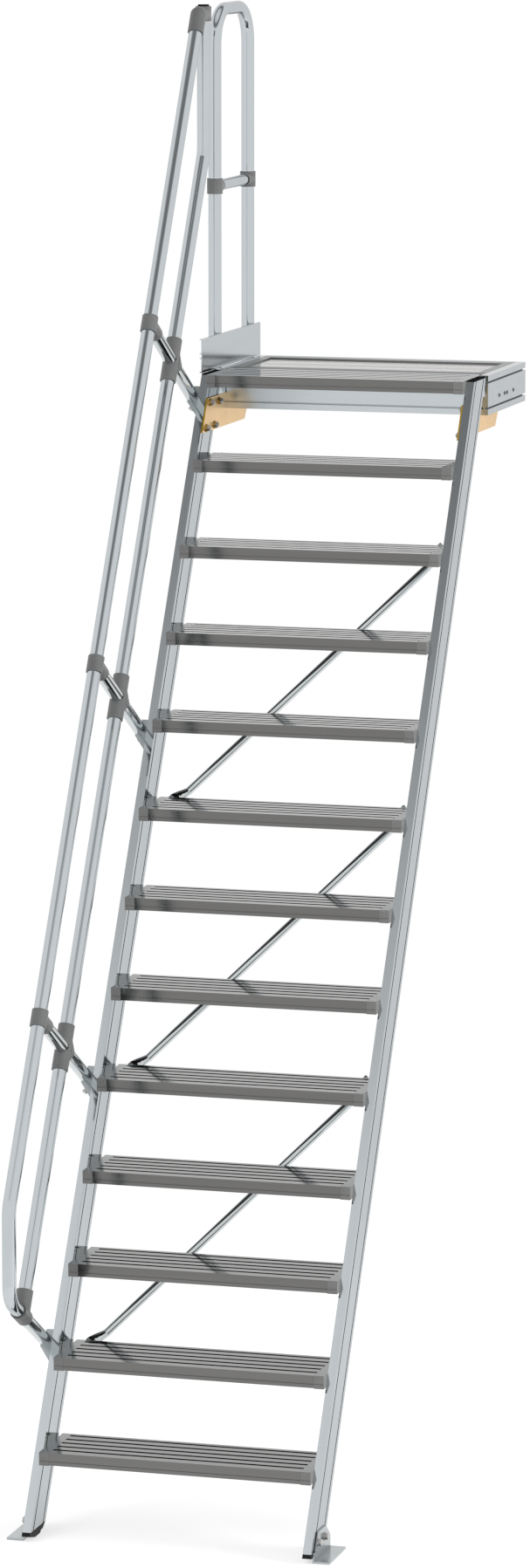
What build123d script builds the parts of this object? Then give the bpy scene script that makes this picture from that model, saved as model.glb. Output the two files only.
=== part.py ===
from build123d import *
import os
from math import cos, radians, sin, tan

# Driving dimensions in mm and degrees. X runs across the stair, +Y from its front to the
# wall, +Z up. The stair is drawn with the floor at Z 0 and the first nosing at Y 0.
rise = 243
slope = 60
steps = 12
clear_width = 800
joint_gap = 0.3

# Stringers and the platform frame share one hollow section with a groove near each edge.
profile_depth = 120
profile_width = 25
profile_wall = 2.5
groove_inset = 18
groove_width = 6
groove_depth = 9
rib_width = 3
end_plate = 3
nosing_lead = 38
stringer_cut = 28
stringer_overrun = 486
stringer_cap_height = 4
foot_rim = 17
foot_sole = 5
foot_sole_start = 41
foot_sole_end = 86
foot_heel_low = 98
foot_heel_start = 111
foot_heel_rim = 12.5

# Treads: hollow planks closed by a plastic cap at each end.
tread_depth = 222
tread_height = 36.5
tread_wall = 2.5
plank_cells = 3
tread_groove_width = 13
tread_groove_depth = 4
tread_groove_start = 37.5
tread_groove_pitch = 40.5
tread_groove_count = 5
front_line_drop = 24.5
front_line_width = 3
front_line_depth = 1.5
cap_width = 29.5
cap_height = 38
cap_wall = 3

# Platform. Its frame starts behind the top nosing, and its heights count from its level.
platform_reach = 211.4
platform_depth = 475
tread_to_frame_gap = 2
edge_strip_depth = 68
edge_strip_side = 30
rear_strip_depth = 45
deck_thickness = 25
deck_recess = 4
deck_planks = 3
deck_gap = 1.5
deck_groove_width = 4
deck_groove_depth = 1.5
deck_groove_start = 14
deck_groove_pitch = 19
deck_groove_count = 4

# Platform brackets.
bracket_thickness = 5
bracket_drop = 71
bracket_height = 100
bracket_front_inset = 2
bracket_rear_low = 193
bracket_rear_high = 277

# Toe board beside the platform.
toe_overlap = 165
toe_height = 102
toe_web = 2.5
toe_depth = 8
toe_rib = 3
toe_lift = 1
toe_rib_low = 42
toe_rib_high = 56

# Rails, all round tube, in one plane beside the left stringer.
rail_offset = 53
rail_radius = 20
rail_wall = 2
hand_lead = 445.6
knee_lead = 190.3
hand_foot_y = -97.6
post_to_platform = 50
rail_bend = 80
strut_heights = (348, 1147, 2235, 3324)
strut_end_depth = 59

# Guard rail loop over the platform's left side.
guard_front_inset = 69.5
guard_rear_inset = 43.7
guard_height = 1084
guard_foot_drop = 109
guard_bend = 110
guard_cross_rise = 551
cross_radius = 17
saddle_height = 30
saddle_half = 15
saddle_foot_gap = 12
saddle_drop = 44

# Clamps and connectors.
clamp_wall = 4
clamp_mouth_wall = 3
clamp_upper_half = 25
clamp_upper_neck = 68
clamp_knee_below = 68
clamp_knee_above = 70
clamp_knee_neck = 42
clamp_knee_neck_start = 8
clamp_inset = 1
clamp_guard_half = 23.5
clamp_guard_neck = 46
corner_drop = 70.8
corner_tube_gap = 116.8
corner_socket = 170.8
top_barrel_height = 45
bottom_neck = 71
bottom_half = 34
socket_stop = 2
plug_height = 5
plug_radius = 17

# Brackets that hold the struts to the left stringer.
seat_thickness = 5
seat_above = 32
seat_below = 65
seat_reach = 40
seat_top_reach = 26
seat_shoulder = 10
seat_corner = 20
seat_flange_depth = 76

# Floor brackets.
floor_plate = 5
floor_flange = 6
floor_width = 50
floor_front = -69
floor_back = 105
floor_plate_step = 30
floor_height = 78
floor_chamfer_y = 48
floor_chamfer_z = 39

# Diagonal braces behind the treads.
brace_radius = 12
brace_wall = 1.5
brace_low_reach = 366
brace_high_reach = 347.5
brace_drop = 15
brace_clearance = 2.7
brace_tab = 4
brace_tab_width = 34
brace_tab_length = 34
brace_flare = 62
brace_pitch = 3
brace_first = 1
brace_count = 3

# Derived values.
angle = radians(slope)
going = rise / tan(angle)
half = clear_width / 2
outer = half + profile_width
level = rise * (steps + 1)
top_tread_y = going * steps
platform_start = top_tread_y + platform_reach
platform_end = platform_start + platform_depth
top_tread_depth = platform_reach - tread_to_frame_gap
rail_x = -half - rail_offset
along_dir = Vector(0, cos(angle), sin(angle))
depth_dir = Vector(0, sin(angle), -cos(angle))
clamp_radius = rail_radius + clamp_wall
origin = Vector(outer + floor_width / 2, (floor_front + floor_back) / 2, 0)

os.makedirs("parts", exist_ok=True)


def save(name, shape):
    """Moves the shape so the row's origin is under the right floor flange, and writes it."""
    export_step(Pos(-origin.X, -origin.Y, -origin.Z) * shape, f"parts/{name}.step")


def at(x, along, depth):
    """A point set out from the first nosing, up the slope and in behind the nosing line."""
    return Vector(x, 0, rise) + along_dir * along + depth_dir * depth


def block(x0, x1, y0, y1, z0, z1):
    """A box between two corners."""
    return Pos((x0 + x1) / 2, (y0 + y1) / 2, (z0 + z1) / 2) * Box(x1 - x0, y1 - y0, z1 - z0)


def rod(start, end, radius):
    """A round bar between two points."""
    line = end - start
    return extrude(Plane(origin=start, z_dir=line) * Circle(radius), line.length)


def tube(points, radius, wall, bend=0):
    """A round tube along straight runs with equal bends."""
    path = FilletPolyline(*points, radius=bend) if len(points) > 2 else Line(*points)
    section = Plane(origin=path @ 0, z_dir=path % 0) * (Circle(radius) - Circle(radius - wall))
    return sweep(section, path=path)


def neck(centre, way, start, end, tall, radius):
    """A clamp's neck, narrowing from an oval in its barrel to a round mouth."""
    oval = Plane(origin=centre + way * start, x_dir=(1, 0, 0), z_dir=way) * Ellipse(clamp_radius, tall)
    mouth = Plane(origin=centre + way * end, x_dir=(1, 0, 0), z_dir=way) * Circle(radius)
    return loft([oval, mouth])


def side_plate(x0, x1, corners):
    """A plate between two X values with corners given as Y and Z."""
    outline = make_face(Polyline(*[(x0, y, z) for y, z in corners], close=True))
    return extrude(outline, x1 - x0, dir=(1, 0, 0))


def frame_profile():
    """The shared section: X across its width, Y down its depth from the front edge."""
    shape = Pos(0, profile_depth / 2) * Rectangle(profile_width, profile_depth)
    inside = profile_width - 2 * profile_wall
    edge_end = groove_inset - rib_width
    edge_room = edge_end - profile_wall
    middle_start = groove_inset + groove_width + rib_width
    middle = profile_depth - 2 * middle_start
    shape -= Pos(0, profile_depth / 2) * Rectangle(inside, middle)
    for centre in (profile_wall + edge_room / 2, profile_depth - profile_wall - edge_room / 2):
        shape -= Pos(0, centre) * Rectangle(inside, edge_room)
    return shape - profile_grooves()


def profile_grooves():
    """The four grooves of the shared section, two on each side."""
    grooves = []
    for centre in (groove_inset + groove_width / 2, profile_depth - groove_inset - groove_width / 2):
        for side in (-1, 1):
            x = side * (profile_width - groove_depth) / 2
            grooves.append(Pos(x, centre) * Rectangle(groove_depth, groove_width))
    return grooves


def stringer(side):
    """One stringer with both ends cut level."""
    x = side * (half + profile_width / 2)
    plane = Plane(origin=at(x, -stringer_overrun, nosing_lead), x_dir=(1, 0, 0), z_dir=along_dir)
    bar = extrude(plane * frame_profile(), (level + 2 * stringer_overrun) / sin(angle))
    top = level - stringer_cap_height
    reach = level + rise
    return bar & block(x - profile_width, x + profile_width, -reach, reach, stringer_cut, top)


def stringer_front(z):
    """Y of the stringer's front edge at a height."""
    return (z - rise) / tan(angle) + nosing_lead / sin(angle)


def plank(depth, height, wall, groove, length, line=False):
    """A hollow grooved plank along X; its front top edge is the origin."""
    start, pitch, count, groove_wide, groove_deep = groove
    room = (depth - wall * (plank_cells + 1)) / plank_cells
    lift = groove_deep / 2
    shape = Pos(depth / 2, -height / 2) * Rectangle(depth, height)
    for cell in range(plank_cells):
        centre = wall + room / 2 + cell * (room + wall)
        shape -= Pos(centre, -height / 2 - lift) * Rectangle(room, height - 2 * wall - 2 * lift)
    for number in range(count):
        centre = start + pitch * number
        shape -= Pos(centre, -lift) * Rectangle(groove_wide, groove_deep)
    if line:
        shape -= Pos(front_line_depth / 2, -front_line_drop) * Rectangle(front_line_depth, front_line_width)
    plane = Plane(origin=(-length / 2, 0, 0), x_dir=(0, 1, 0), z_dir=(1, 0, 0))
    return extrude(plane * shape, length)


def tread_cap(side, y, z, depth):
    """The plastic end of a tread, open towards it and closed at the stringer."""
    inner = side * (half - cap_width)
    face = side * half
    x0, x1 = sorted((inner, face))
    shape = block(x0, x1, y, y + depth, z - cap_height, z)
    p0, p1 = sorted((inner, face - side * cap_wall))
    shape -= block(p0, p1, y + cap_wall, y + depth - cap_wall, z - cap_height + cap_wall, z - cap_wall)
    line_low = z - front_line_drop - front_line_width / 2
    shape -= block(x0, x1, y, y + front_line_depth, line_low, line_low + front_line_width)
    return shape


tread_groove = (
    tread_groove_start,
    tread_groove_pitch,
    tread_groove_count,
    tread_groove_width,
    tread_groove_depth,
)
deck_groove = (
    deck_groove_start,
    deck_groove_pitch,
    deck_groove_count,
    deck_groove_width,
    deck_groove_depth,
)
tread_length = 2 * (half - cap_width - joint_gap)

# Stringers and their ends.
save("left_stringer", stringer(-1))
save("right_stringer", stringer(1))

cap_low = level - stringer_cap_height
profile_run = profile_depth / sin(angle)
caps = []
feet = []
for side in (-1, 1):
    x0, x1 = sorted((side * half, side * outer))
    low, high = stringer_front(cap_low), stringer_front(level)
    corners = [(low, cap_low), (low + profile_run, cap_low), (high + profile_run, level), (high, level)]
    caps.append(side_plate(x0, x1, corners))
    front = stringer_front(stringer_cut)
    heel = front + profile_run
    corners = [
        (front, stringer_cut),
        (heel, stringer_cut),
        (front + foot_heel_start, foot_heel_rim),
        (front + foot_heel_low, foot_heel_rim),
        (front + foot_sole_end, foot_sole),
        (front + foot_sole_start, foot_sole),
        (stringer_front(foot_rim), foot_rim),
    ]
    feet.append(side_plate(x0, x1, corners))
save("stringer_caps", Compound(children=caps))
save("rubber_feet", Compound(children=feet))

# Floor brackets on the stringers' outer faces. Their plates leave the front groove open.
groove_run = (groove_inset + groove_width) / sin(angle)
for name, side in (("floor_bracket_left", -1), ("floor_bracket_right", 1)):
    x0, x1 = sorted((side * outer, side * (outer + floor_plate)))
    corners = [
        (floor_front, 0),
        (floor_back, 0),
        (floor_back, floor_height - floor_chamfer_z),
        (floor_back - floor_chamfer_y, floor_height),
        (stringer_front(floor_height) + groove_run, floor_height),
        (stringer_front(floor_plate_step) + groove_run, floor_plate_step),
        (floor_front, floor_plate_step),
    ]
    x2, x3 = sorted((side * outer, side * (outer + floor_width)))
    flange = block(x2, x3, floor_front, floor_back, 0, floor_flange)
    save(name, side_plate(x0, x1, corners) + flange)

# Treads and their caps.
left_caps = []
right_caps = []
for number in range(steps):
    y, z = going * number, rise * (number + 1)
    shape = plank(tread_depth, tread_height, tread_wall, tread_groove, tread_length, line=True)
    save(f"tread_{number + 1:02d}", Pos(0, y, z) * shape)
    left_caps.append(tread_cap(-1, y, z, tread_depth))
    right_caps.append(tread_cap(1, y, z, tread_depth))
shape = plank(top_tread_depth, tread_height, tread_wall, tread_groove, tread_length, line=True)
save("platform_tread", Pos(0, top_tread_y, level) * shape)
left_caps.append(tread_cap(-1, top_tread_y, level, top_tread_depth))
right_caps.append(tread_cap(1, top_tread_y, level, top_tread_depth))
save("tread_caps_left", Compound(children=left_caps))
save("tread_caps_right", Compound(children=right_caps))

# Platform frame.
for name, side in (("platform_side_left", -1), ("platform_side_right", 1)):
    x = side * (half + profile_width / 2)
    plane = Plane(origin=(x, platform_start, level), x_dir=(1, 0, 0), z_dir=(0, 1, 0))
    cover = Pos(0, profile_depth / 2) * Rectangle(profile_width, profile_depth) - profile_grooves()
    shape = extrude(plane * frame_profile(), platform_depth)
    shape += extrude(plane * cover, end_plate)
    shape += extrude(plane.offset(platform_depth - end_plate) * cover, end_plate)
    save(name, shape)
front_half = half - bracket_thickness
for name, reach, y in (
    ("platform_beam_front", front_half, platform_start + profile_width / 2),
    ("platform_beam_rear", half, platform_end - profile_width / 2),
):
    plane = Plane(origin=(reach, y, level), x_dir=(0, 1, 0), z_dir=(-1, 0, 0))
    save(name, extrude(plane * frame_profile(), 2 * reach))

# Deck: a plain edge all round three grooved planks set slightly lower.
edge_low = level - deck_thickness
front_strip = platform_start + profile_width
deck_start = front_strip + edge_strip_depth
rear_strip = platform_end - profile_width - rear_strip_depth
deck_end = rear_strip - joint_gap
deck_start_seat = deck_start + joint_gap
strip = block(-half, half, front_strip, deck_start, edge_low, level)
room = profile_wall
strip -= block(-half, half, front_strip + room, deck_start - room, edge_low + room, level - room)
save("deck_edge_front", strip)
strip = block(-half, half, rear_strip, platform_end - profile_width, edge_low, level)
strip -= block(
    -half, half, rear_strip + room, platform_end - profile_width - room, edge_low + room, level - room
)
save("deck_edge_rear", strip)
edges = []
for side in (-1, 1):
    x0, x1 = sorted((side * (half - edge_strip_side), side * half))
    strip = block(x0, x1, deck_start_seat, deck_end, edge_low, level)
    strip -= block(x0 + room, x1 - room, deck_start_seat, deck_end, edge_low + room, level - room)
    edges.append(strip)
save("deck_edges_side", Compound(children=edges))
plank_depth = (deck_end - deck_start_seat - deck_gap * (deck_planks - 1)) / deck_planks
deck_length = 2 * (half - edge_strip_side - joint_gap)
planks = []
for number in range(deck_planks):
    y = deck_start_seat + number * (plank_depth + deck_gap)
    shape = plank(plank_depth, deck_thickness, tread_wall, deck_groove, deck_length)
    planks.append(Pos(0, y, level - deck_recess) * shape)
save("deck_planks", Compound(children=planks))

# Coloured plates between the stringers and the platform frame.
for name, side in (("platform_bracket_left", -1), ("platform_bracket_right", 1)):
    x0, x1 = sorted((side * half, side * front_half))
    high = level - bracket_drop
    low = high - bracket_height
    corners = [
        (stringer_front(low) + bracket_front_inset, low),
        (platform_start + bracket_rear_low, low),
        (platform_start + bracket_rear_high, high),
        (stringer_front(high) + bracket_front_inset, high),
    ]
    save(name, side_plate(x0, x1, corners))

# Toe board outside the platform's left edge.
toe_low = level + toe_lift
toe_start = platform_start - toe_overlap
board = block(-outer - toe_web, -outer, toe_start, platform_end, toe_low, toe_low + toe_height)
for height in (0, toe_rib_low, toe_rib_high, toe_height - toe_rib):
    z = toe_low + height
    board += block(-outer - toe_depth, -outer, toe_start, platform_end, z, z + toe_rib)
save("toe_board", board)

# Guard rail loop with its cross tube, clamps and saddles.
guard_top = level + guard_height
guard_foot = level - guard_foot_drop
guard_front_y = platform_start + guard_front_inset
guard_rear_y = platform_end - guard_rear_inset
guard_cross_height = level + guard_cross_rise
loop = [
    (rail_x, guard_front_y, guard_foot),
    (rail_x, guard_front_y, guard_top),
    (rail_x, guard_rear_y, guard_top),
    (rail_x, guard_rear_y, guard_foot),
]
save("guard_rail", tube(loop, rail_radius, rail_wall, guard_bend))
reach = rail_radius + joint_gap
cross = [
    Vector(rail_x, guard_front_y + reach, guard_cross_height),
    Vector(rail_x, guard_rear_y - reach, guard_cross_height),
]
save("guard_cross_tube", tube(cross, cross_radius, rail_wall))
clamps = []
saddles = []
for y, way in ((guard_front_y, 1), (guard_rear_y, -1)):
    centre = Vector(rail_x, y, guard_cross_height)
    up = Vector(0, 0, clamp_guard_half)
    inward = Vector(0, way, 0)
    shape = rod(centre - up, centre + up, clamp_radius)
    tall = clamp_guard_half - clamp_inset
    shape += neck(centre, inward, 0, clamp_guard_neck, tall, cross_radius + clamp_mouth_wall)
    shape -= rod(centre - up, centre + up, rail_radius)
    shape -= rod(centre, centre + inward * clamp_guard_neck, cross_radius)
    clamps.append(shape)
    for low in (guard_foot + saddle_foot_gap, level - saddle_drop):
        high = low + saddle_height
        saddle = block(rail_x, -outer, y - saddle_half, y + saddle_half, low, high)
        saddle -= rod(Vector(rail_x, y, low), Vector(rail_x, y, high), rail_radius)
        saddles.append(saddle)
save("guard_clamps", Compound(children=clamps))
save("guard_rail_saddles", Compound(children=saddles))

# Handrail and knee rail. The handrail's line meets the top post's line at the corner.
first_strut = strut_heights[0]
rail_top_y = platform_start - post_to_platform
corner_along = (rail_top_y + hand_lead * sin(angle)) / cos(angle)
rail_top = at(rail_x, corner_along, -hand_lead).Z - corner_drop
hand_end_along = corner_along - corner_tube_gap
hand_along = (hand_foot_y + hand_lead * sin(angle)) / cos(angle)
hand_turn = at(rail_x, hand_along, -hand_lead)
turn_depth = (hand_foot_y - first_strut * cos(angle)) / sin(angle)
hand_path = [
    at(rail_x, hand_end_along, -hand_lead),
    hand_turn,
    at(rail_x, first_strut, turn_depth),
    at(rail_x, first_strut, -knee_lead - joint_gap),
]
save("handrail", tube(hand_path, rail_radius, rail_wall, rail_bend))
knee_along = (rail_top_y + knee_lead * sin(angle)) / cos(angle)
knee_path = [
    at(rail_x, first_strut + rail_radius + joint_gap, -knee_lead),
    at(rail_x, knee_along, -knee_lead),
    Vector(rail_x, rail_top_y, rail_top - socket_stop),
]
save("knee_rail", tube(knee_path, rail_radius, rail_wall, rail_bend))

# Corner connector where both rails meet at the top.
post_low = Vector(rail_x, rail_top_y, rail_top - top_barrel_height)
post_high = Vector(rail_x, rail_top_y, rail_top)
socket_low = at(rail_x, corner_along - corner_socket, -hand_lead)
shoulder = at(rail_x, corner_along - (corner_drop + clamp_radius) / sin(angle), -hand_lead)
body = rod(post_low, post_high, clamp_radius)
body += rod(shoulder, Vector(rail_x, rail_top_y, shoulder.Z), clamp_radius)
body += Pos(shoulder) * Sphere(clamp_radius)
body += rod(socket_low, shoulder, clamp_radius)
body -= rod(socket_low, at(rail_x, hand_end_along, -hand_lead), rail_radius)
body -= rod(post_low - Vector(0, 0, clamp_wall), post_high, rail_radius)
save("top_connector", body)
stem = rod(post_high - Vector(0, 0, socket_stop), post_high, rail_radius)
save("top_plug", stem + rod(post_high, post_high + Vector(0, 0, plug_height), plug_radius))

# Connector at the foot of the knee rail.
centre = at(rail_x, first_strut, -knee_lead)
left_end = at(rail_x, first_strut, -knee_lead - bottom_half)
right_end = at(rail_x, first_strut, -knee_lead + bottom_half)
neck_end = at(rail_x, first_strut + bottom_neck, -knee_lead)
body = rod(left_end, right_end, clamp_radius) + rod(centre, neck_end, clamp_radius)
body -= rod(left_end, right_end, rail_radius)
body -= rod(centre, neck_end, rail_radius)
save("bottom_connector", body)

# Struts, their clamps and their seats on the stringer.
upper = []
lower = []
hand_clamps = []
knee_clamps = []
seats = []
gap = rail_radius + joint_gap
for along in strut_heights:
    knee_point = at(rail_x, along, -knee_lead)
    end = at(rail_x, along, strut_end_depth)
    start = joint_gap if along == first_strut else gap
    lower.append(tube([at(rail_x, along, -knee_lead + start), end], rail_radius, rail_wall))
    x0, x1 = -outer - seat_reach, -outer
    plane = Plane(origin=at(0, along, strut_end_depth), x_dir=(1, 0, 0), z_dir=depth_dir)
    # On this plane the local Y axis points down the slope.
    outline = [
        (x0, -seat_shoulder),
        (x1 - seat_top_reach, -seat_above),
        (x1, -seat_above),
        (x1, seat_below),
        (x1 - seat_thickness, seat_below),
        (x0, seat_corner),
    ]
    plate = extrude(plane * make_face(Polyline(*outline, close=True)), seat_thickness)
    flange = plane * Pos(x1 - seat_thickness / 2, (seat_below - seat_above) / 2) * Rectangle(
        seat_thickness, seat_above + seat_below
    )
    seats.append(plate + extrude(flange, seat_flange_depth))
    if along == first_strut:
        continue
    hand_point = at(rail_x, along, -hand_lead)
    span = [at(rail_x, along, -hand_lead + gap), at(rail_x, along, -knee_lead - gap)]
    upper.append(tube(span, rail_radius, rail_wall))
    half_run = along_dir * clamp_upper_half
    mouth_radius = rail_radius + clamp_mouth_wall
    tall = clamp_upper_half - clamp_inset
    shape = rod(hand_point - half_run, hand_point + half_run, clamp_radius)
    shape += neck(hand_point, depth_dir, 0, clamp_upper_neck, tall, mouth_radius)
    shape -= rod(hand_point - half_run, hand_point + half_run, rail_radius)
    shape -= rod(hand_point, hand_point + depth_dir * clamp_upper_neck, rail_radius)
    hand_clamps.append(shape)
    low, high = along_dir * -clamp_knee_below, along_dir * clamp_knee_above
    tall = clamp_knee_below - clamp_inset
    front = depth_dir * -clamp_radius
    shape = rod(knee_point + low, knee_point + high, clamp_radius)
    shape += neck(knee_point, depth_dir, clamp_knee_neck_start, clamp_knee_neck, tall, mouth_radius)
    shape -= rod(knee_point + low, knee_point + high, rail_radius)
    shape -= rod(knee_point + front, knee_point + depth_dir * clamp_knee_neck, rail_radius)
    knee_clamps.append(shape)
save("upper_struts", Compound(children=upper))
save("lower_struts", Compound(children=lower))
save("upper_rail_clamps", Compound(children=hand_clamps))
save("knee_rail_clamps", Compound(children=knee_clamps))
save("strut_seats", Compound(children=seats))

# Braces bolted to the rear faces of every third tread, with flattened ends.
shift = depth_dir * ((tread_height - brace_drop) * cos(angle) + brace_clearance + brace_radius)
braces = []
for number in range(brace_count):
    first = brace_first + number * brace_pitch
    y = going * first + tread_depth
    z = rise * (first + 1) - brace_drop
    low_end = Vector(-brace_low_reach, y, z)
    high_end = Vector(brace_high_reach, y + going * brace_pitch, z + rise * brace_pitch)
    line = (high_end - low_end).normalized()
    start = low_end + shift + line * brace_flare
    finish = high_end + shift - line * brace_flare
    shape = tube([start, finish], brace_radius, brace_wall)
    for end, mouth, way in ((low_end, start, line), (high_end, finish, -line)):
        face = Vector(0, joint_gap + brace_tab / 2, 0)
        flat = Vector(way.X, 0, way.Z).normalized()
        seat = Plane(origin=end + face, x_dir=(0, 1, 0), z_dir=flat)
        tab = extrude(seat * Rectangle(brace_tab, brace_tab_width), brace_tab_length / 2, both=True)
        near = seat.offset(brace_tab_length / 2) * Rectangle(brace_tab, brace_tab_width)
        far = Plane(origin=mouth, x_dir=(0, 1, 0), z_dir=way) * Circle(brace_radius)
        shape += tab + loft([near, far])
    braces.append(shape)
save("braces", Compound(children=braces))
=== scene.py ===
import math

import bmesh
import bpy
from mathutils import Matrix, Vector


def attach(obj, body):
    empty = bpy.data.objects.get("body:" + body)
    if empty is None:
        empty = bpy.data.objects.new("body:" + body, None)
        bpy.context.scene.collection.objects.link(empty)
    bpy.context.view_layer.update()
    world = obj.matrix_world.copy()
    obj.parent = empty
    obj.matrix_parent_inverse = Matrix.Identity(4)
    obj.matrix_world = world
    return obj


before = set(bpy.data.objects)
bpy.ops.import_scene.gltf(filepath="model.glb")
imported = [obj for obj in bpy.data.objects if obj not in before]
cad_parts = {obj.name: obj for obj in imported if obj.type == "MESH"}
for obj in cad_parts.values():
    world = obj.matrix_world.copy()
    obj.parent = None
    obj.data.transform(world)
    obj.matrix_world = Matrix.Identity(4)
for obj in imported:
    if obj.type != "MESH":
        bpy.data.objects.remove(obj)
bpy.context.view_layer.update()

# Sizes shared with the solids, in metres, and the slope of the stair.
SLOPE = math.radians(60)
RISE = 0.243
HALF_WIDTH = 0.400
STRINGER = 0.025
OUTER = HALF_WIDTH + STRINGER
PLATE = 0.005
ORIGIN = Vector((0.450, 0.018, 0.0))
ALONG = Vector((0, math.cos(SLOPE), math.sin(SLOPE)))
DEPTH = Vector((0, math.sin(SLOPE), -math.cos(SLOPE)))

# Noise: the part of its range that shows, and the broad noise as a share of the fine one.
NOISE_LOW = 0.3
NOISE_HIGH = 0.7
BROAD_SHARE = 0.06
BROAD_LEAST = 0.6
BROAD_DETAIL = 2.0

# Noise scales: the low number is the axis along the grain. SLANT tilts upright grain to the slope.
SLANT = math.radians(90) - SLOPE
UPRIGHT = (400, 400, 3)
ACROSS = (3, 400, 400)
INWARD = (400, 3, 400)
RIBBED = (2, 700, 700)
COARSE = (60, 60, 60)
MEDIUM = (90, 90, 90)
FINE = (200, 200, 200)

# Plastic and rubber: pebbles, broad patches, and how far the pebbles move the roughness.
PEBBLES = (900, 900, 900)
PEBBLE_DETAIL = 3.0
PATCHES = (9, 9, 9)
PATCH_VARY = 0.1
SMOOTHER = 0.05
ROUGHER = 0.08

# Relief in metres: the drawing lines on metal, and the pebbles on plastic.
LINE_RELIEF = 0.0004
PEBBLE_RELIEF = 0.0002

# Painted shade in grooves and corners: how far their surroundings count, and the open share at
# which the painted shade is darkest.
GROOVE_REACH = 0.016
GROOVE_SAMPLES = 8
GROOVE_DARKEST = 0.35

# Colours that more than one look takes, or that a look takes on some of its faces.
ALUMINIUM = (0.546, 0.584, 0.604)
EDGE_GREY = (0.20, 0.205, 0.205)
BLACK = (0.010, 0.010, 0.010)
# The gold is the washers' own colour, and also the painted shade on the yellow plates' front faces.
GOLD_AND_FRONT_SHADE = (0.58, 0.36, 0.02)
POLISHED_GREY = (0.27, 0.28, 0.28)

# A face gets the painted front shade below this Y of its direction, and is an upward one above this
# Z.
FRONT_SHADE_FACES = -0.4
UPWARD_FACES = 0.5

# Where fasteners sit in the stair's own frame: y and z, or y, or the distance up the slope.
PLATE_NUTS = ((1.717, 3.073), (1.811, 3.069), (1.675, 2.999), (1.763, 3.001))
FLOOR_BOLTS = (-0.024, 0.045)
FLOOR_BOLT_HEIGHT = 0.049
SIDE_SCREWS = (2.038, 2.105, 2.135, 2.216)
SIDE_SCREW_HEIGHT = 3.087
SEAT_BOLTS = (0.370, 1.1055, 2.207, 3.288)
SEAT_DEPTH = 0.072

# Fasteners' sizes, with the washer's size as its radius, and how many sides their rounds have.
PLATE_NUT = {"across": 0.017, "washer": 0.0125, "thread": 0.003}
FLOOR_BOLT = {"across": 0.017, "washer": 0.012, "thread": 0.0}
SEAT_BOLT = {"across": 0.013, "washer": 0.009, "thread": 0.004, "shank": 0.018}
SIDE_SCREW = {"radius": 0.0065, "height": 0.003}
HEXAGON = 6
BOLT_SIDES = 20
DOME_SIDES = 28
WASHER_SIDES = 32
DOME_ANGLES = (0, 0.35, 0.7, 1.05)

# The floor, and how it fades to white: from where to where, and the least share of white.
FLOOR_CENTRE = (-0.45, 1.0, -0.0005)
FLOOR_RADIUS = 60
FLOOR_SEGMENTS = 96
FLOOR_GREY = (0.8, 0.8, 0.8, 1)
FLOOR_LIFT = 0.30
FADE_START = 1.5
FADE_END = 5.0
FADE_LEAST = 0.5

# The sky that lights the stair: its tone by the sine of the height, from the horizon at 0 to
# straight up at 1. Below the horizon it is as at the horizon.
SKY_TONES = (
    (0.0, 1.0),
    (0.30, 1.0),
    (0.66, 0.99),
    (0.70, 0.95),
    (0.738, 0.62),
    (0.752, 0.49),
    (0.7675, 0.335),
    (0.785, 0.25),
    (0.85, 0.26),
    (0.93, 0.80),
    (1.0, 0.90),
)

# The photograph's camera.
PHOTO_HEIGHT = 1797
FOCAL_PIXELS = 7377.6
SENSOR = 36
NEAREST = 0.1
FARTHEST = 500
EYE = (4.65298, -16.92434, 4.98018)
LOOK_DOWN = 0.1571159
LOOK_LEFT = 0.2785676


def at(x, along, depth):
    """A point set out from the first nosing, up the slope and in behind the nosing line."""
    return Vector((x, 0, RISE)) + ALONG * along + DEPTH * depth - ORIGIN


def pt(x, y, z):
    """A point of the stair's own frame in the row frame."""
    return Vector((x, y, z)) - ORIGIN


def wire(node, inputs):
    """Puts a link or a constant on each of the given inputs of a node."""
    for name, value in inputs.items():
        if isinstance(value, bpy.types.NodeSocket):
            node.id_data.links.new(value, node.inputs[name])
        else:
            node.inputs[name].default_value = value


# Materials.
def shader(name, colour, metallic, roughness, edge=1.0, gloss=0.5):
    """A material with plain values on its shader; edge and gloss tone down what it mirrors."""
    mat = bpy.data.materials.new(name)
    mat.use_nodes = True
    bsdf = mat.node_tree.nodes["Principled BSDF"]
    bsdf.inputs["Base Color"].default_value = (*colour, 1)
    bsdf.inputs["Metallic"].default_value = metallic
    bsdf.inputs["Roughness"].default_value = roughness
    bsdf.inputs["Specular Tint"].default_value = (edge, edge, edge, 1)
    bsdf.inputs["Specular IOR Level"].default_value = gloss
    return mat, mat.node_tree, bsdf


def grain(tree, scale, turn=0.0, detail=4.0):
    """Noise stretched along an extrusion; turn tilts it about X."""
    coord = tree.nodes.new("ShaderNodeTexCoord")
    tilted = tree.nodes.new("ShaderNodeMapping")
    stretched = tree.nodes.new("ShaderNodeMapping")
    noise = tree.nodes.new("ShaderNodeTexNoise")
    wire(tilted, {"Vector": coord.outputs["Object"], "Rotation": (turn, 0, 0)})
    wire(stretched, {"Vector": tilted.outputs["Vector"], "Scale": scale})
    wire(noise, {"Vector": stretched.outputs["Vector"], "Scale": 1.0, "Detail": detail})
    return noise.outputs["Fac"]


def spread(tree, noise, low, high):
    """The noise value moved to a range."""
    node = tree.nodes.new("ShaderNodeMapRange")
    wire(node, {"Value": noise, "From Min": NOISE_LOW, "From Max": NOISE_HIGH})
    wire(node, {"To Min": low, "To Max": high})
    return node.outputs["Result"]


def tint(tree, noise, dark, light):
    """A colour between two, by noise."""
    ramp = tree.nodes.new("ShaderNodeValToRGB")
    stops = ((NOISE_LOW, dark), (NOISE_HIGH, light))
    for element, (place, colour) in zip(ramp.color_ramp.elements, stops):
        element.position = place
        element.color = (*colour, 1)
    wire(ramp, {"Fac": noise})
    return ramp.outputs["Color"]


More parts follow.
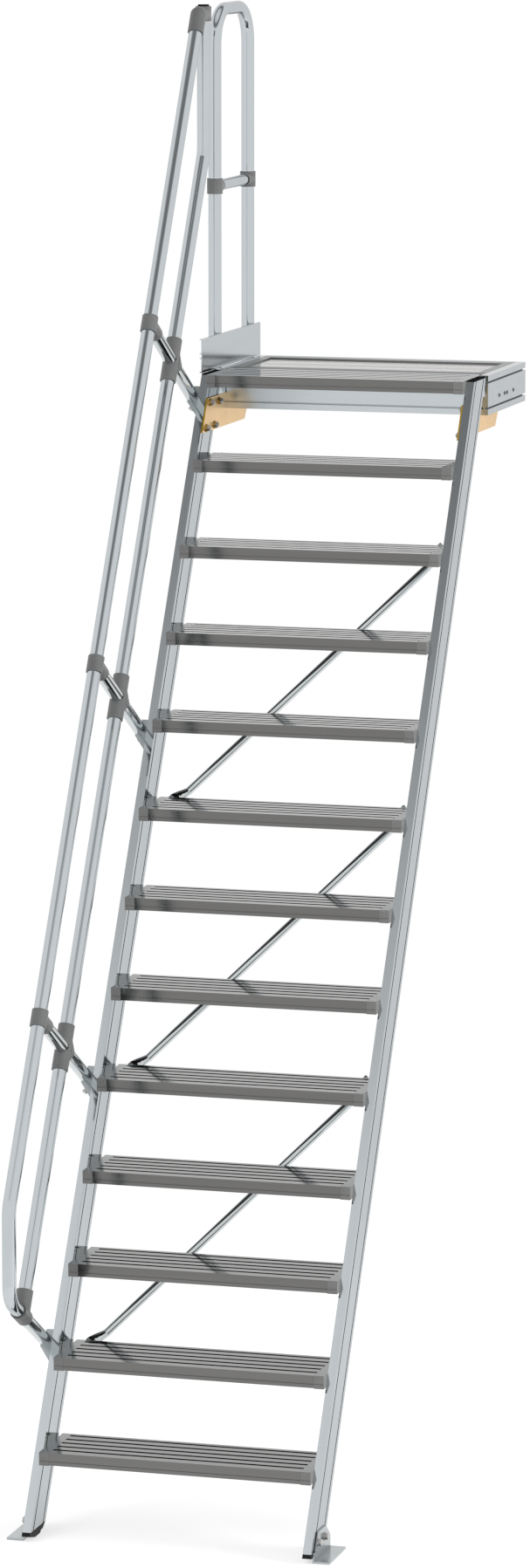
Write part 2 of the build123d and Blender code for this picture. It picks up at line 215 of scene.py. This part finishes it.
def scaled(colour, factor):
    """The colour made darker or lighter, up to white."""
    return tuple(min(1.0, c * factor) for c in colour)


def with_painted_shade(tree, colour, depth):
    """The colour darkened by painted shade in grooves and corners narrower than the grooves' reach.
    """
    near = tree.nodes.new("ShaderNodeAmbientOcclusion")
    near.samples = GROOVE_SAMPLES
    near.only_local = True
    share = tree.nodes.new("ShaderNodeMapRange")
    darker = tree.nodes.new("ShaderNodeMix")
    darker.data_type = "RGBA"
    darker.blend_type = "MULTIPLY"
    wire(near, {"Distance": GROOVE_REACH})
    wire(share, {"Value": near.outputs["AO"], "From Min": GROOVE_DARKEST, "To Min": 1 - depth})
    wire(darker, {"Factor": 1.0, "A": colour, "B": share.outputs["Result"]})
    return darker.outputs["Result"]


def relief(tree, bsdf, noise, strength, distance):
    """Raises the noise as a fine relief."""
    bump = tree.nodes.new("ShaderNodeBump")
    wire(bump, {"Height": noise, "Strength": strength, "Distance": distance})
    wire(bsdf, {"Normal": bump.outputs["Normal"]})


def metal(
    name, colour, roughness, scale, turn=0.0, vary=0.06, lines=0.0, swing=0.05, edge=1.0, dark=0.6
):
    """Metal with its grain along its length, drawing lines where asked, and painted shade in its
    grooves and corners, as deep as dark.
    """
    mat, tree, bsdf = shader(name, colour, 1.0, roughness, edge)
    fine = grain(tree, scale, turn)
    broad = grain(tree, tuple(s * BROAD_SHARE + BROAD_LEAST for s in scale), turn, BROAD_DETAIL)
    mixed = tint(tree, broad, scaled(colour, 1 - vary), scaled(colour, 1 + vary))
    rough = spread(tree, fine, roughness - swing, roughness + swing)
    wire(bsdf, {"Base Color": with_painted_shade(tree, mixed, dark), "Roughness": rough})
    if lines:
        relief(tree, bsdf, fine, lines, LINE_RELIEF)
    return mat


def moulded(name, colour, roughness, depth=0.25, gloss=0.5):
    """Moulded plastic or rubber with a fine pebbled skin."""
    mat, tree, bsdf = shader(name, colour, 0.0, roughness, gloss=gloss)
    fine = grain(tree, PEBBLES, detail=PEBBLE_DETAIL)
    broad = grain(tree, PATCHES, detail=BROAD_DETAIL)
    mixed = tint(tree, broad, scaled(colour, 1 - PATCH_VARY), scaled(colour, 1 + PATCH_VARY))
    rough = spread(tree, fine, roughness - SMOOTHER, roughness + ROUGHER)
    wire(bsdf, {"Base Color": mixed, "Roughness": rough})
    relief(tree, bsdf, fine, depth, PEBBLE_RELIEF)
    return mat


# dark is how deep each look's painted shade in grooves and corners goes.
SATIN = {"vary": 0.02, "swing": 0.02, "edge": 0.78, "dark": 0.95}
BEAM = {**SATIN, "dark": 0.3}
PLANK = {"vary": 0.03, "dark": 0.4}
DRAWN = {"vary": 0.02, "swing": 0.02, "lines": 0.002}
CAST = {"lines": 0.01, "dark": 0.2}
looks = {
    "frame": metal("stair_frame_aluminium", ALUMINIUM, 0.07, UPRIGHT, SLANT, **SATIN),
    "platform": metal("platform_aluminium", ALUMINIUM, 0.09, ACROSS, **SATIN),
    "beams": metal("beam_aluminium", scaled(ALUMINIUM, 1.06), 0.24, ACROSS, **BEAM),
    "rails": metal("rail_aluminium", ALUMINIUM, 0.08, UPRIGHT, SLANT, **SATIN),
    "guard": metal("guard_aluminium", ALUMINIUM, 0.08, UPRIGHT, **SATIN),
    "treads": metal("tread_aluminium", (0.170, 0.168, 0.165), 0.11, RIBBED, **PLANK),
    "deck": metal("deck_aluminium", (0.42, 0.41, 0.395), 0.14, RIBBED, **PLANK),
    "edges": metal("deck_edge_aluminium", EDGE_GREY, 0.34, ACROSS, vary=0.02),
    "strip": metal("front_strip_aluminium", EDGE_GREY, 0.34, ACROSS, vary=0.02, edge=0.68),
    "toe": metal("toe_board_aluminium", ALUMINIUM, 0.14, INWARD, **SATIN),
    "braces": metal("brace_aluminium", (0.56, 0.59, 0.60), 0.06, COARSE, **DRAWN),
    "brackets": metal("bracket_aluminium", (0.42, 0.45, 0.46), 0.22, FINE, lines=0.004, dark=0.2),
    "clamps": moulded("clamp_grey", (0.110, 0.111, 0.112), 0.42),
    "caps": moulded("tread_cap_grey", (0.150, 0.149, 0.147), 0.30, depth=0.05),
    "black": moulded("cover_black", BLACK, 0.6, gloss=0.0),
    "rubber": moulded("foot_rubber", BLACK, 0.6, gloss=0.2),
    "yellow": metal("yellow_passivated_steel", (0.78, 0.52, 0.24), 0.32, MEDIUM, vary=0.08, **CAST),
    "gold": metal("golden_washer", GOLD_AND_FRONT_SHADE, 0.35, MEDIUM, **CAST),
    "steel": metal("nut_steel", (0.60, 0.59, 0.58), 0.48, MEDIUM, **CAST),
    "screws": metal("screw_steel", (0.16, 0.165, 0.17), 0.35, MEDIUM, **CAST),
}


def recolour(look, axis, operation, limit, colour):
    """Gives a look's faces past the limit along an axis a colour, and returns their mask."""
    tree = looks[look].node_tree
    base = tree.nodes["Principled BSDF"].inputs["Base Color"]
    coord = tree.nodes.new("ShaderNodeTexCoord")
    sides = tree.nodes.new("ShaderNodeSeparateXYZ")
    mask = tree.nodes.new("ShaderNodeMath")
    mask.operation = operation
    mixed = tree.nodes.new("ShaderNodeMix")
    mixed.data_type = "RGBA"
    wire(sides, {0: coord.outputs["Normal"]})
    wire(mask, {0: sides.outputs[axis], 1: limit})
    wire(mixed, {"Factor": mask.outputs[0], "A": base.links[0].from_socket, "B": (*colour, 1)})
    tree.links.new(mixed.outputs["Result"], base)
    return mask.outputs[0]


# Painted shade: the yellow plates' front edges, the faces turned to the front, are painted a darker
# gold.
recolour("yellow", "Y", "LESS_THAN", FRONT_SHADE_FACES, GOLD_AND_FRONT_SHADE)

# The tread ends' flat tops mirror the sky at a low angle, as polished metal would.
upward = recolour("caps", "Z", "GREATER_THAN", UPWARD_FACES, POLISHED_GREY)
wire(looks["caps"].node_tree.nodes["Principled BSDF"], {"Metallic": upward})

# Which look each CAD node gets. The treads and their ends go by the start of their names, and
# what isn't listed is a side of the platform.
LOOK_NODES = {
    "frame": ("left_stringer", "right_stringer"),
    "beams": ("platform_beam_front", "platform_beam_rear"),
    "rails": ("handrail", "knee_rail"),
    "guard": ("guard_rail", "guard_cross_tube"),
    "treads": ("platform_tread",),
    "deck": ("deck_planks",),
    "edges": ("deck_edge_rear", "deck_edges_side"),
    "strip": ("deck_edge_front",),
    "toe": ("toe_board",),
    "braces": ("upper_struts", "lower_struts", "braces"),
    "brackets": ("strut_seats", "guard_rail_saddles", "floor_bracket_left", "floor_bracket_right"),
    "clamps": (
        "guard_clamps",
        "upper_rail_clamps",
        "knee_rail_clamps",
        "top_connector",
        "bottom_connector",
    ),
    "black": ("stringer_caps", "top_plug"),
    "rubber": ("rubber_feet",),
    "yellow": ("platform_bracket_left", "platform_bracket_right"),
}
NODE_LOOKS = {node: look for look, names in LOOK_NODES.items() for node in names}


def look_of(node):
    """The name of a CAD node's look."""
    if node.startswith("tread_caps"):
        return "caps"
    if node.startswith("tread_"):
        return "treads"
    return NODE_LOOKS.get(node, "platform")


for node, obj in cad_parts.items():
    look = looks[look_of(node)]
    if not obj.material_slots:
        obj.data.materials.append(look)
    for slot in obj.material_slots:
        slot.material = look


# Fasteners. Each is one mesh, turned about its own Z axis and then stood on its face.
def turned(shape, steps, sides, slot):
    """A closed body about Z through radius and height steps, in one material slot."""
    angles = [math.tau * k / sides for k in range(sides)]
    rings = []
    for radius, height in steps:
        spots = [(radius * math.cos(a), radius * math.sin(a), height) for a in angles]
        rings.append([shape.verts.new(spot) for spot in spots])
    faces = [shape.faces.new(rings[0][::-1]), shape.faces.new(rings[-1])]
    for low, high in zip(rings, rings[1:]):
        for k in range(sides):
            ahead = (k + 1) % sides
            faces.append(shape.faces.new((low[k], low[ahead], high[ahead], high[k])))
    for face in faces:
        face.material_index = slot


def stand(name, shape, place, axis, finishes):
    """Makes the piece, standing on the place with its Z axis turned to the given one."""
    mesh = bpy.data.meshes.new(name)
    shape.to_mesh(mesh)
    shape.free()
    for finish in finishes:
        mesh.materials.append(looks[finish])
    piece = bpy.data.objects.new(name, mesh)
    bpy.context.scene.collection.objects.link(piece)
    piece.location = place
    piece.rotation_euler = Vector(axis).to_track_quat("Z", "Y").to_euler()
    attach(piece, "root")


def nut(name, place, axis, finishes, across, washer, thread, shank=0.0):
    """A hexagon on a washer, with the rounded end of its bolt, on a shank where it stands off."""
    shape = bmesh.new()
    thick = across * 0.12
    tall = across * 0.5
    edge = across * 0.07
    bolt = across * 0.28
    corner = across / math.sqrt(3)
    seat = shank + thick
    top = seat + tall
    if shank:
        turned(shape, [(bolt, 0), (bolt, shank)], BOLT_SIDES, 1)
    turned(shape, [(washer, shank), (washer, seat)], WASHER_SIDES, 0)
    turned(shape, [(corner, seat), (corner, top - edge), (corner - edge, top)], HEXAGON, 1)
    end = [(bolt, top - edge), (bolt, top + thread - edge), (bolt - edge, top + thread)]
    turned(shape, end, BOLT_SIDES, 1)
    stand(name, shape, place, axis, finishes)


def dome(name, place, axis, finish, radius, height):
    """A round screw head with a socket sunk in its middle."""
    shape = bmesh.new()
    steps = [(radius * math.cos(a), height * math.sin(a)) for a in DOME_ANGLES]
    mouth = radius * 0.35
    steps += [(mouth, height), (mouth * 0.95, height * 0.4)]
    turned(shape, steps, DOME_SIDES, 0)
    stand(name, shape, place, axis, [finish])


for label, side in (("left", -1), ("right", 1)):
    for number, (y, z) in enumerate(PLATE_NUTS, 1):
        spot = pt(side * (HALF_WIDTH - PLATE), y, z)
        name = f"plate_nut_{label}_{number}"
        nut(name, spot, (-side, 0, 0), ("gold", "steel"), **PLATE_NUT)
    for number, y in enumerate(FLOOR_BOLTS, 1):
        spot = pt(side * (OUTER + PLATE), y, FLOOR_BOLT_HEIGHT)
        name = f"floor_bolt_{label}_{number}"
        nut(name, spot, (side, 0, 0), ("steel", "steel"), **FLOOR_BOLT)
for number, y in enumerate(SIDE_SCREWS, 1):
    spot = pt(OUTER, y, SIDE_SCREW_HEIGHT)
    dome(f"side_screw_{number}", spot, (1, 0, 0), "screws", **SIDE_SCREW)
for number, along in enumerate(SEAT_BOLTS, 1):
    spot = at(-OUTER - PLATE, along, SEAT_DEPTH)
    nut(f"seat_bolt_{number}", spot, (-1, 0, 0), ("steel", "steel"), **SEAT_BOLT)


# Floor, light and camera.
def either_ray(tree, first, second):
    """1 for rays of either kind, 0 for the rest."""
    path = tree.nodes.new("ShaderNodeLightPath")
    either = tree.nodes.new("ShaderNodeMath")
    either.operation = "MAXIMUM"
    wire(either, {0: path.outputs[first], 1: path.outputs[second]})
    return either.outputs[0]


def floor_look():
    """Matt pale grey for the light; what is seen or mirrored of it fades to plain white."""
    mat = bpy.data.materials.new("studio_floor")
    mat.use_nodes = True
    tree = mat.node_tree
    tree.nodes.clear()
    matt = tree.nodes.new("ShaderNodeBsdfDiffuse")
    lift = tree.nodes.new("ShaderNodeEmission")
    near = tree.nodes.new("ShaderNodeAddShader")
    blank = tree.nodes.new("ShaderNodeEmission")
    coord = tree.nodes.new("ShaderNodeTexCoord")
    away = tree.nodes.new("ShaderNodeVectorMath")
    away.operation = "LENGTH"
    whiter = tree.nodes.new("ShaderNodeMapRange")
    whiter.interpolation_type = "SMOOTHSTEP"
    fade = tree.nodes.new("ShaderNodeMixShader")
    path = tree.nodes.new("ShaderNodeLightPath")
    seen = tree.nodes.new("ShaderNodeMath")
    seen.operation = "MAXIMUM"
    shown = tree.nodes.new("ShaderNodeMixShader")
    out = tree.nodes.new("ShaderNodeOutputMaterial")
    mirrored = either_ray(tree, "Is Glossy Ray", "Is Transmission Ray")
    wire(matt, {"Color": FLOOR_GREY})
    wire(lift, {"Strength": FLOOR_LIFT})
    wire(near, {0: matt.outputs[0], 1: lift.outputs[0]})
    wire(blank, {"Strength": 1.0})
    wire(away, {0: coord.outputs["Object"]})
    wire(whiter, {"Value": away.outputs["Value"], "From Min": FADE_START, "From Max": FADE_END})
    wire(whiter, {"To Min": FADE_LEAST})
    wire(fade, {"Fac": whiter.outputs["Result"], 1: near.outputs[0], 2: blank.outputs[0]})
    wire(seen, {0: path.outputs["Is Camera Ray"], 1: mirrored})
    wire(shown, {"Fac": seen.outputs[0], 1: matt.outputs[0], 2: fade.outputs[0]})
    wire(out, {"Surface": shown.outputs[0]})
    return mat


def make_floor():
    """A round floor, far larger than the view."""
    shape = bmesh.new()
    bmesh.ops.create_circle(shape, cap_ends=True, segments=FLOOR_SEGMENTS, radius=FLOOR_RADIUS)
    mesh = bpy.data.meshes.new("studio_floor")
    shape.to_mesh(mesh)
    shape.free()
    mesh.materials.append(floor_look())
    floor = bpy.data.objects.new("studio_floor", mesh)
    bpy.context.scene.collection.objects.link(floor)
    floor.location = FLOOR_CENTRE


def make_world():
    """White behind the stair, and the sky's tones for the light and for what the metal mirrors."""
    world = bpy.data.worlds.new("studio")
    bpy.context.scene.world = world
    world.use_nodes = True
    tree = world.node_tree
    tree.nodes.clear()
    coord = tree.nodes.new("ShaderNodeTexCoord")
    split = tree.nodes.new("ShaderNodeSeparateXYZ")
    ramp = tree.nodes.new("ShaderNodeValToRGB")
    ramp.color_ramp.interpolation = "EASE"
    sky = tree.nodes.new("ShaderNodeBackground")
    white = tree.nodes.new("ShaderNodeBackground")
    shown = tree.nodes.new("ShaderNodeMixShader")
    out = tree.nodes.new("ShaderNodeOutputWorld")
    stops = ramp.color_ramp.elements
    while len(stops) < len(SKY_TONES):
        stops.new(0.5)
    for stop, (place, tone) in zip(stops, SKY_TONES):
        stop.position = place
        stop.color = (tone, tone, tone, 1)
    plain = either_ray(tree, "Is Camera Ray", "Is Transmission Ray")
    wire(split, {0: coord.outputs["Generated"]})
    wire(ramp, {"Fac": split.outputs["Z"]})
    wire(sky, {"Color": ramp.outputs["Color"]})
    wire(white, {"Color": (1, 1, 1, 1), "Strength": 1.0})
    wire(shown, {"Fac": plain, 1: sky.outputs[0], 2: white.outputs[0]})
    wire(out, {"Surface": shown.outputs[0]})


def lamp(name, place, target, size, power):
    """A square light aimed at the stair, which the metal doesn't mirror."""
    light = bpy.data.lights.new(name, "AREA")
    light.shape = "RECTANGLE"
    light.size = size
    light.size_y = size
    light.energy = power
    holder = bpy.data.objects.new(name, light)
    holder.location = place
    aim = Vector(target) - Vector(place)
    holder.rotation_euler = aim.to_track_quat("-Z", "Y").to_euler()
    holder.visible_glossy = False
    bpy.context.scene.collection.objects.link(holder)


def make_camera():
    """The photograph's camera, as solved from the stair's own edges."""
    camera = bpy.data.cameras.new("camera")
    camera.sensor_width = SENSOR
    camera.sensor_height = SENSOR
    camera.sensor_fit = "AUTO"
    camera.lens = FOCAL_PIXELS * SENSOR / PHOTO_HEIGHT
    camera.clip_start = NEAREST
    camera.clip_end = FARTHEST
    eye = bpy.data.objects.new("camera", camera)
    eye.location = EYE
    eye.rotation_euler = (math.radians(90) - LOOK_DOWN, 0, LOOK_LEFT)
    bpy.context.scene.collection.objects.link(eye)
    bpy.context.scene.camera = eye


make_floor()
make_world()
lamp("key_light", (-5.0, -6.0, 8.0), (-0.45, 1.0, 1.6), 5, 300)
lamp("side_light", (7.0, 0.5, 3.5), (-0.9, 0.7, 2.3), 3, 500)
make_camera()
bpy.context.scene.view_settings.view_transform = "Standard"
